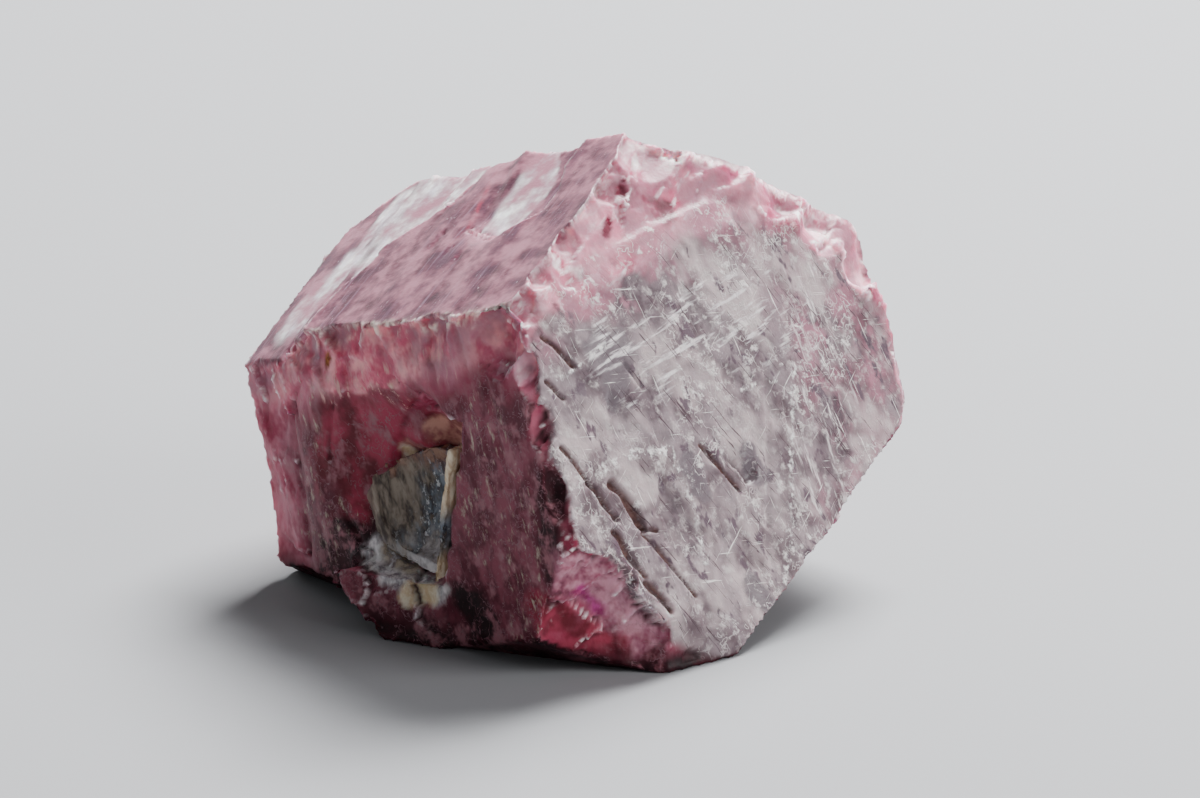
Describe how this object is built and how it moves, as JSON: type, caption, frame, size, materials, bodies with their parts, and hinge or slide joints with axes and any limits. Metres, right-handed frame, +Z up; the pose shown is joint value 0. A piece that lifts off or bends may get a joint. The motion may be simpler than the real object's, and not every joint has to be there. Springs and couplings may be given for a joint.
{
  "type": "raw ruby crystal",
  "caption": "Rough natural ruby crystal, a stubby six-sided prism with a flat end face, broken edges and a hollow lined with pale host rock.",
  "frame": {"origin": "centre of the bounding box's underside, on the ground that the crystal lies on", "axes": "+Z up as it lies, +X along its greatest length to the right of the side that shows the hollow, +Y away from that side"},
  "size_m": [0.0168, 0.0156, 0.012],
  "materials": {
    "ruby": "translucent corundum with a frosted, striated natural skin",
    "host_rock": "dull, crumbly cream and blue-grey feldspar"
  },
  "bodies": {
    "root": {"ruby_crystal": "ruby", "matrix_seam": "host_rock"}
  },
  "joints": []
}
